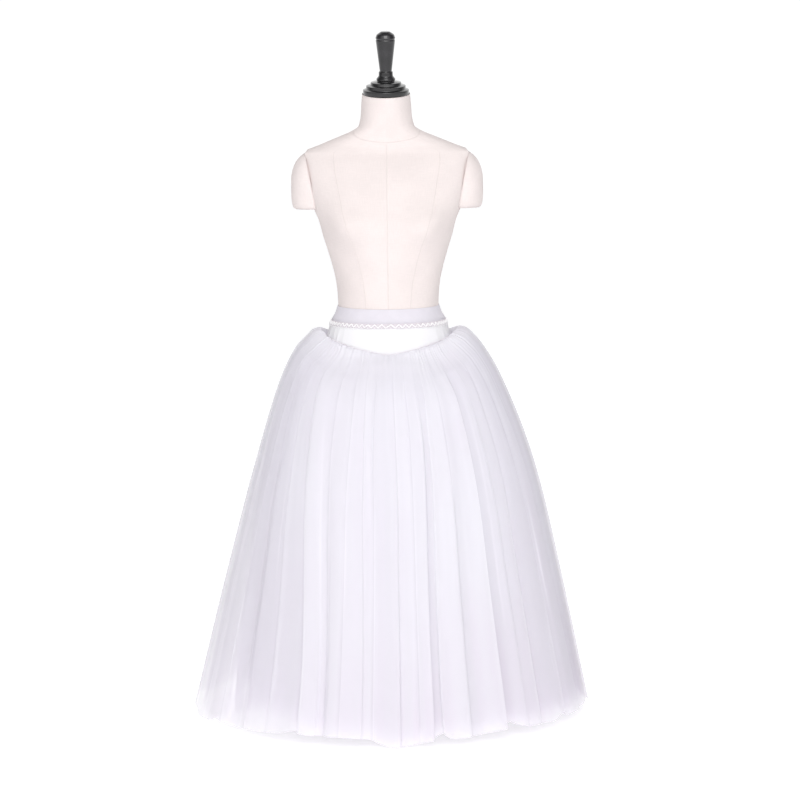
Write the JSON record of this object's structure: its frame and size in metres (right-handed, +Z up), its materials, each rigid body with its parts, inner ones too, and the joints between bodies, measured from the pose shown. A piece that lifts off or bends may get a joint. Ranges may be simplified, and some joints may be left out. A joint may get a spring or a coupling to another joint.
{
  "type": "tulle ballet skirt on a dress form",
  "caption": "Full-length tulle ballet skirt with elastic waistband, picot edging, dipped net yoke and gathered layers, worn by a linen dress form with a turned neck cap.",
  "frame": {"origin": "centre of the underside of the bounding box, on the floor under the foot of the stand", "axes": "+Z up, -Y is the front of the skirt, +X to the right of someone looking at the front"},
  "size_m": [0.898, 0.6723, 1.5256],
  "materials": {
    "elastic": "soft matt elastic, lilac white",
    "lace": "soft white picot edging",
    "stretch_net": "smooth sheer white stretch net",
    "tulle": "sheer soft tulle, lilac white",
    "linen": "plain woven linen, pale pinkish beige",
    "black_gloss": "turned wood, black gloss lacquer",
    "painted_steel": "white satin paint"
  },
  "bodies": {
    "root": {"waistband": "elastic", "picot_trim": "lace", "yoke": "stretch_net", "tulle_outer": "tulle", "tulle_middle": "tulle", "tulle_inner": "tulle", "form_torso": "linen", "form_stub_left": "linen", "form_stub_right": "linen", "form_cap": "black_gloss", "stand_pole": "painted_steel", "stand_foot": "painted_steel"}
  },
  "joints": []
}
